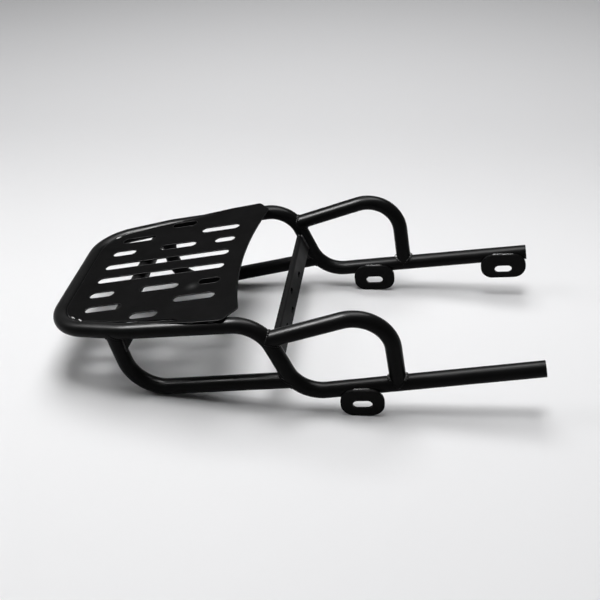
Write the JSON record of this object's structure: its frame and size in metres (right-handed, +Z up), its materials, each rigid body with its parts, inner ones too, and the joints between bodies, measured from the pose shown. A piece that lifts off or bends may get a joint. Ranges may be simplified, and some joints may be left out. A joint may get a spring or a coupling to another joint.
{
  "type": "motorcycle luggage rack",
  "caption": "Welded tubular motorcycle luggage rack with a slotted sheet deck, looped side grab handles, bent support legs and slotted fixing brackets.",
  "frame": {"origin": "centre of the bounding box on the floor, on the rack's middle plane", "axes": "+X to the front of the motorcycle, +Y to its left, +Z up, as the rack rests on its two knees and two rear brackets"},
  "size_m": [0.6724, 0.3504, 0.1565],
  "materials": {
    "tube_coat": "satin black powder coat",
    "sheet_coat": "fine-grained black powder coat",
    "bracket_coat": "satin black powder coat"
  },
  "bodies": {
    "root": {"main_tube": "tube_coat", "cross_tube": "tube_coat", "deck_plate": "sheet_coat", "cross_plate": "sheet_coat", "grab_handle_left": "tube_coat", "grab_handle_right": "tube_coat", "support_leg_left": "tube_coat", "support_leg_right": "tube_coat", "gusset_left": "bracket_coat", "gusset_right": "bracket_coat", "bracket_rear_left": "bracket_coat", "bracket_rear_right": "bracket_coat", "bracket_front_left": "bracket_coat"}
  },
  "joints": []
}
